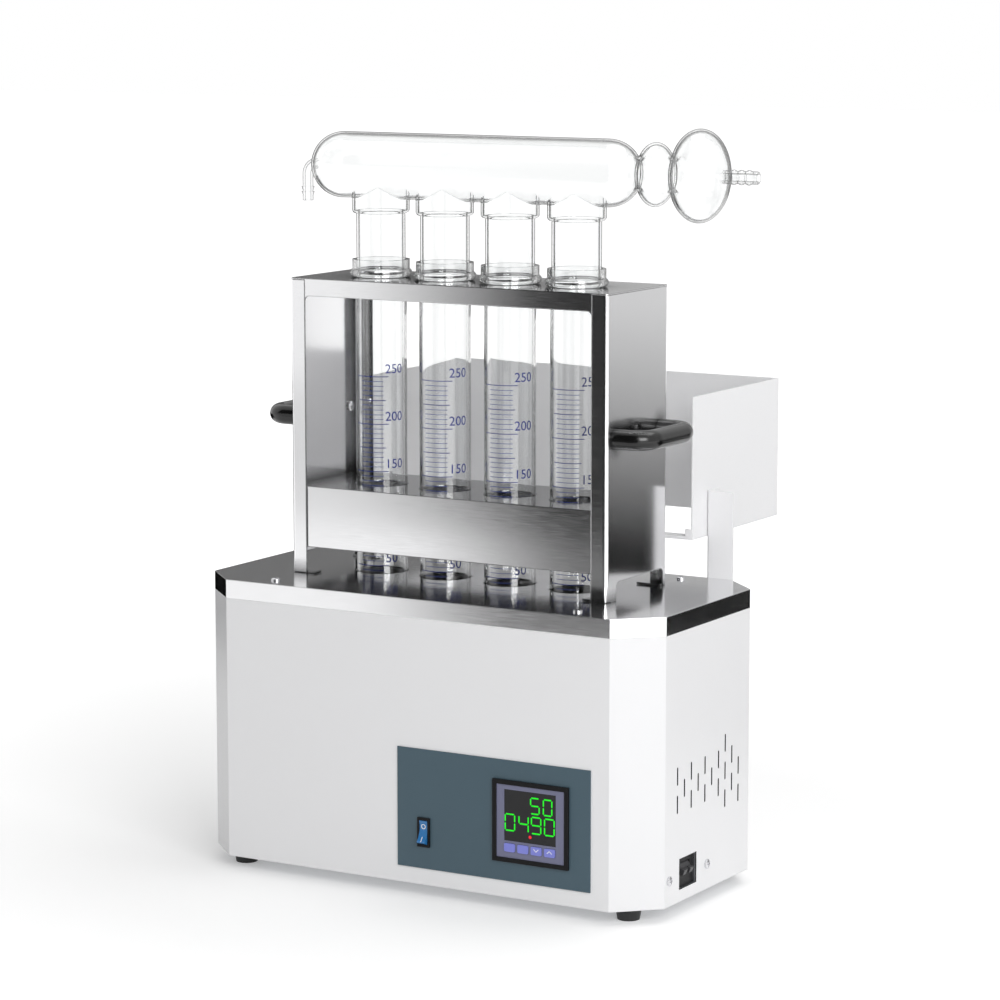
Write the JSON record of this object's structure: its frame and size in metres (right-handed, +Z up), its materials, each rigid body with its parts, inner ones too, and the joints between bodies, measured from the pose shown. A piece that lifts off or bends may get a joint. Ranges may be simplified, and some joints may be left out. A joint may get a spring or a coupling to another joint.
{
  "type": "block digester",
  "caption": "Bench heating block digester: white cabinet, lift-out steel rack of glass tubes, glass fume manifold, rear cooling holder.",
  "frame": {"origin": "middle of the whole outline, on the bench", "axes": "+Z up, front with its panel towards -Y, hose barb towards +X"},
  "size_m": [0.4584, 0.3434, 0.61],
  "materials": {
    "white_paint": "smooth semi-gloss white powder coat",
    "stainless": "bright stainless sheet, almost a mirror",
    "zinc_steel": "zinc plated sheet",
    "screw_steel": "bright plated steel",
    "rubber": "matt black rubber",
    "panel_grey": "satin blue-grey",
    "black_plastic": "moulded black plastic",
    "controller_face": "fine matt film",
    "display_window": "dark window",
    "keys": "soft matt",
    "blue_plastic": "moulded blue plastic",
    "toggle_plastic": "moulded dark grey plastic",
    "aluminium": "machined",
    "heater_steel": "ground steel sheath",
    "ceramic_fibre": "soft white fibre board",
    "relay_plastic": "moulded dark plastic",
    "terminal_plastic": "moulded pale plastic",
    "handle_black": "glossy black moulding",
    "glass": "clear borosilicate, fire polished"
  },
  "bodies": {
    "cabinet": {"cabinet_shell": "white_paint", "base_plate": "zinc_steel", "feet": "rubber", "foot_screws": "screw_steel", "top_cover": "stainless", "cover_screws": "screw_steel", "cover_standoffs": "zinc_steel", "front_panel": "panel_grey", "controller_bezel": "black_plastic", "controller_face": "controller_face", "controller_case": "black_plastic", "display_window": "display_window", "heat_switch_frame": "black_plastic", "power_switch_body": "black_plastic", "power_switch_bracket": "zinc_steel", "power_switch_screws": "screw_steel", "cord_gland": "black_plastic", "heating_block": "aluminium", "heater_rods": "heater_steel", "thermocouple": "heater_steel", "insulation_jacket": "ceramic_fibre", "block_stand": "zinc_steel", "relay_heatsink": "aluminium", "solid_state_relay": "relay_plastic", "terminal_strip": "terminal_plastic", "holder_box": "white_paint", "holder_upright_left": "white_paint", "holder_upright_right": "white_paint", "holder_screws": "screw_steel"},
    "rack": {"rack_top": "stainless", "rack_side_left": "stainless", "rack_side_right": "stainless", "rack_shelf": "stainless", "handle_left": "handle_black", "handle_right": "handle_black", "handle_screws": "screw_steel"},
    "manifold": {"exhaust_manifold": "glass"},
    "tube_1": {"digestion_tube_1": "glass"},
    "tube_2": {"digestion_tube_2": "glass"},
    "tube_3": {"digestion_tube_3": "glass"},
    "tube_4": {"digestion_tube_4": "glass"},
    "heat_rocker": {"heat_switch_rocker": "blue_plastic"},
    "power_toggle": {"power_switch_toggle": "toggle_plastic"},
    "key_1_cap": {"key_1": "keys"},
    "key_2_cap": {"key_2": "keys"},
    "key_3_cap": {"key_3": "keys"},
    "key_4_cap": {"key_4": "keys"}
  },
  "joints": [
    {"name": "rack_lift", "type": "slide", "parent": "cabinet", "child": "rack", "axis": [0, 0, 1], "range_m": [0, 0.12]},
    {"name": "manifold_lift", "type": "slide", "parent": "rack", "child": "manifold", "axis": [0, 0, 1], "range_m": [0, 0.58]},
    {"name": "tube_lift_1", "type": "slide", "parent": "rack", "child": "tube_1", "axis": [0, 0, 1], "range_m": [0, 0.29]},
    {"name": "tube_lift_2", "type": "slide", "parent": "rack", "child": "tube_2", "axis": [0, 0, 1], "range_m": [0, 0.29]},
    {"name": "tube_lift_3", "type": "slide", "parent": "rack", "child": "tube_3", "axis": [0, 0, 1], "range_m": [0, 0.29]},
    {"name": "tube_lift_4", "type": "slide", "parent": "rack", "child": "tube_4", "axis": [0, 0, 1], "range_m": [0, 0.29]},
    {"name": "heat_switch_rock", "type": "hinge", "parent": "cabinet", "child": "heat_rocker", "pos_m": [-0.00785, -0.16562, 0.05425], "axis": [1, 0, 0], "range_deg": [0, 28]},
    {"name": "power_switch_flip", "type": "hinge", "parent": "cabinet", "child": "power_toggle", "pos_m": [0.18345, -0.09492, 0.0358], "axis": [0, -1, 0], "range_deg": [0, 50]},
    {"name": "key_press_1", "type": "slide", "parent": "cabinet", "child": "key_1_cap", "axis": [0, 1, 0], "range_m": [0, 0.0006], "stiffness_N_per_m": 500},
    {"name": "key_press_2", "type": "slide", "parent": "cabinet", "child": "key_2_cap", "axis": [0, 1, 0], "range_m": [0, 0.0006], "stiffness_N_per_m": 500},
    {"name": "key_press_3", "type": "slide", "parent": "cabinet", "child": "key_3_cap", "axis": [0, 1, 0], "range_m": [0, 0.0006], "stiffness_N_per_m": 500},
    {"name": "key_press_4", "type": "slide", "parent": "cabinet", "child": "key_4_cap", "axis": [0, 1, 0], "range_m": [0, 0.0006], "stiffness_N_per_m": 500}
  ],
  "couplings": [
    {"joint": "tube_lift_1", "follows": "manifold_lift", "ratio": 0.5},
    {"joint": "tube_lift_2", "follows": "manifold_lift", "ratio": 0.5},
    {"joint": "tube_lift_3", "follows": "manifold_lift", "ratio": 0.5},
    {"joint": "tube_lift_4", "follows": "manifold_lift", "ratio": 0.5}
  ]
}
